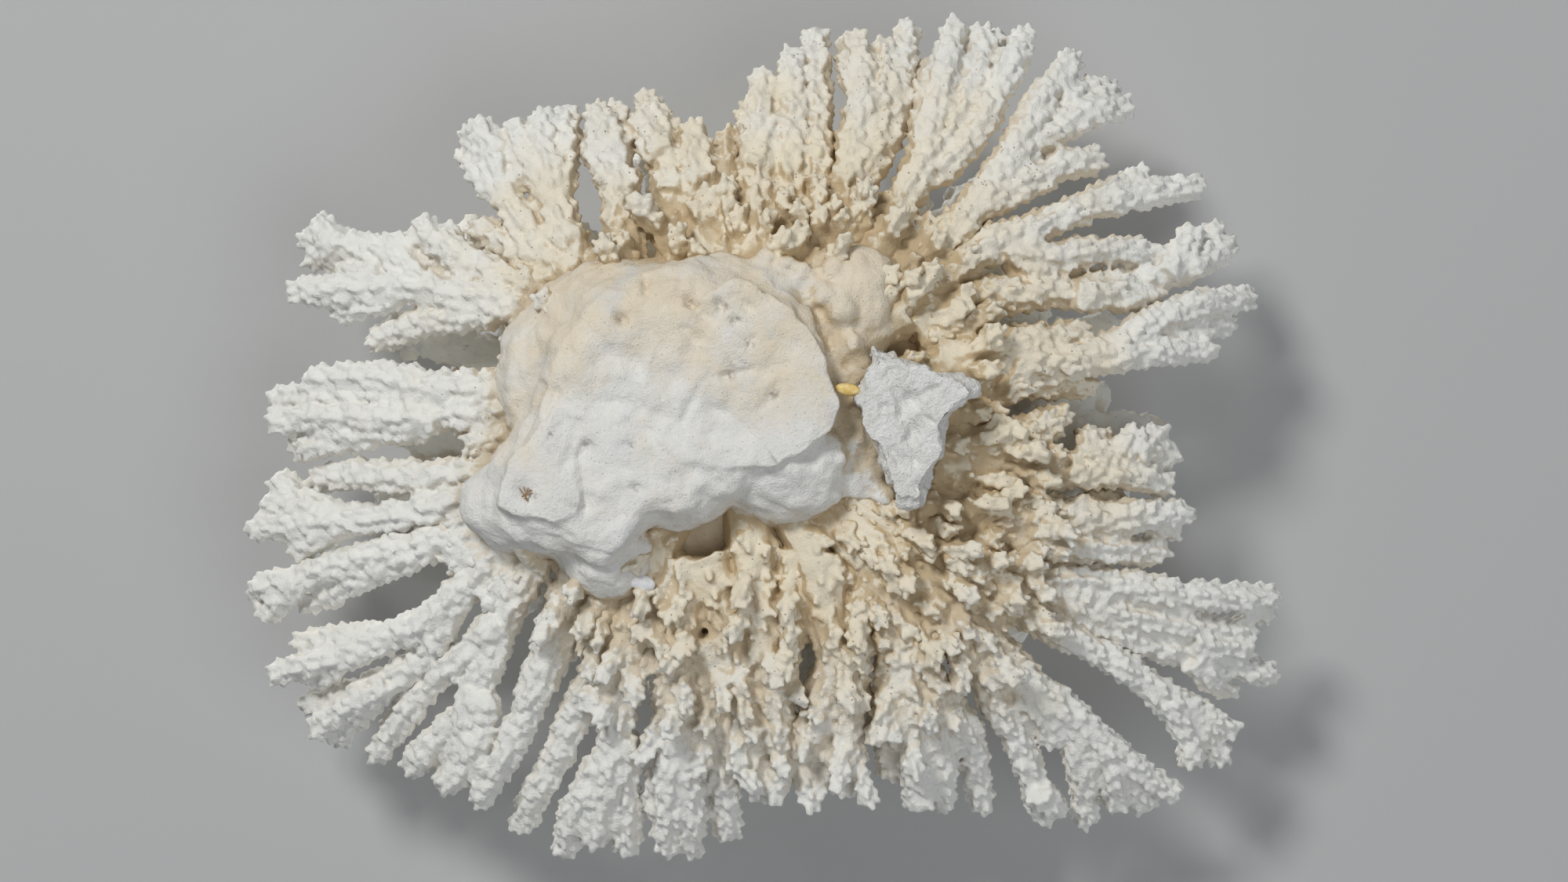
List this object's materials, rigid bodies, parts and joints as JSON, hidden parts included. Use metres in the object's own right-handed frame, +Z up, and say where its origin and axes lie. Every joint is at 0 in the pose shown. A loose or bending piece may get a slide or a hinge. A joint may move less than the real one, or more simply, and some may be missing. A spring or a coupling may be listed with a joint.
{
  "type": "branching coral colony",
  "caption": "Bleached branching coral colony: fans of knobbly fingers spread from a worn base cut flat underneath, with a crown of upright branchlets. Decorative or study piece.",
  "frame": {"origin": "on the flat cut of the base, near the middle of the colony, where it rests", "axes": "X along the colony's length, Y across it, Z up from the cut toward the crown"},
  "size_m": [0.2668, 0.2149, 0.0882],
  "materials": {
    "bleached_branch": "matt, rough with small cups",
    "worn_base": "matt, worn smooth",
    "broken_chalk": "matt, freshly broken"
  },
  "bodies": {
    "root": {"base_lump": "worn_base", "broken_foot": "broken_chalk", "crown_centre": "bleached_branch", "crown_east": "bleached_branch", "crown_north": "bleached_branch", "crown_northeast": "bleached_branch", "crown_south": "bleached_branch", "crown_southwest": "bleached_branch", "crown_west": "bleached_branch", "fan_east_blunt": "bleached_branch", "fan_east_flat": "bleached_branch", "fan_east_long": "bleached_branch", "fan_east_short": "bleached_branch", "fan_east_top": "bleached_branch", "fan_north": "bleached_branch", "fan_north_left": "bleached_branch", "fan_north_right": "bleached_branch", "fan_northeast_tall": "bleached_branch", "fan_northeast_wide": "bleached_branch", "fan_northwest": "bleached_branch", "fan_south": "bleached_branch", "fan_south_left": "bleached_branch", "fan_south_right": "bleached_branch", "fan_south_short": "bleached_branch", "fan_southeast": "bleached_branch", "fan_southeast_outer": "bleached_branch", "fan_southwest": "bleached_branch", "fan_southwest_inner": "bleached_branch", "fan_west": "bleached_branch", "fan_west_low": "bleached_branch", "fan_west_spiky": "bleached_branch", "fan_west_top": "bleached_branch"}
  },
  "joints": []
}
